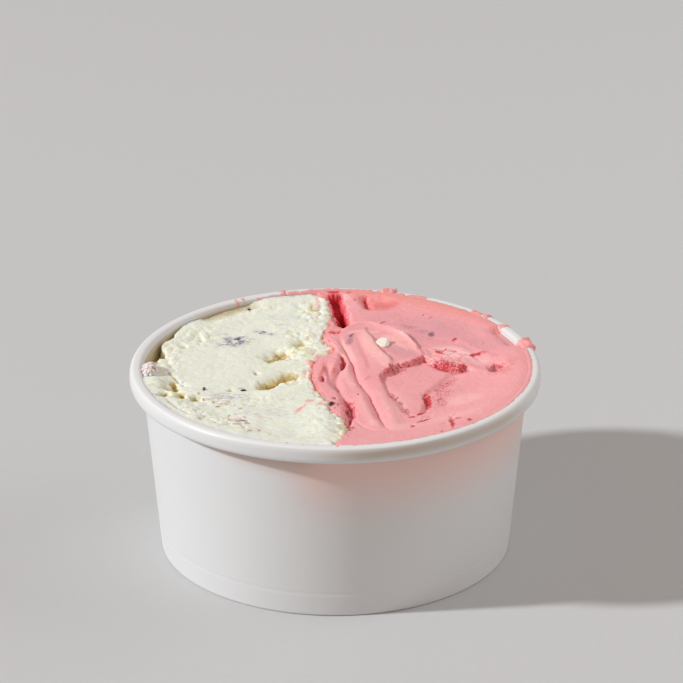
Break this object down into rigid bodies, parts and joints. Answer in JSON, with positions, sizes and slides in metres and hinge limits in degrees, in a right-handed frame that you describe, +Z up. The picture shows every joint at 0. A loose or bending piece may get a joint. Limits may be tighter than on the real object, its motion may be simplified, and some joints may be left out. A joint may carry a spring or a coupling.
{
  "type": "cup of ice cream",
  "caption": "Round white paper tub with a rolled rim, filled level with cream ice cream on the left and strawberry ice cream on the right, a frosted berry piece at the rim.",
  "frame": {"origin": "middle of the tub's foot, on the surface that it stands on", "axes": "+Z up along the tub's axis, -Y towards the front, with the cream ice cream at -X and the strawberry ice cream at +X"},
  "size_m": [0.115, 0.115, 0.0547],
  "materials": {
    "paper": "white coated paperboard, satin",
    "cream": "cream ice cream, crumbly and matt",
    "strawberry": "strawberry ice cream, smooth and softly moist",
    "berry": "frozen berry under white frost, matt"
  },
  "bodies": {
    "root": {"tub_wall": "paper", "tub_bottom": "paper", "cream_ice_cream": "cream", "strawberry_ice_cream": "strawberry", "berry_piece": "berry"}
  },
  "joints": []
}
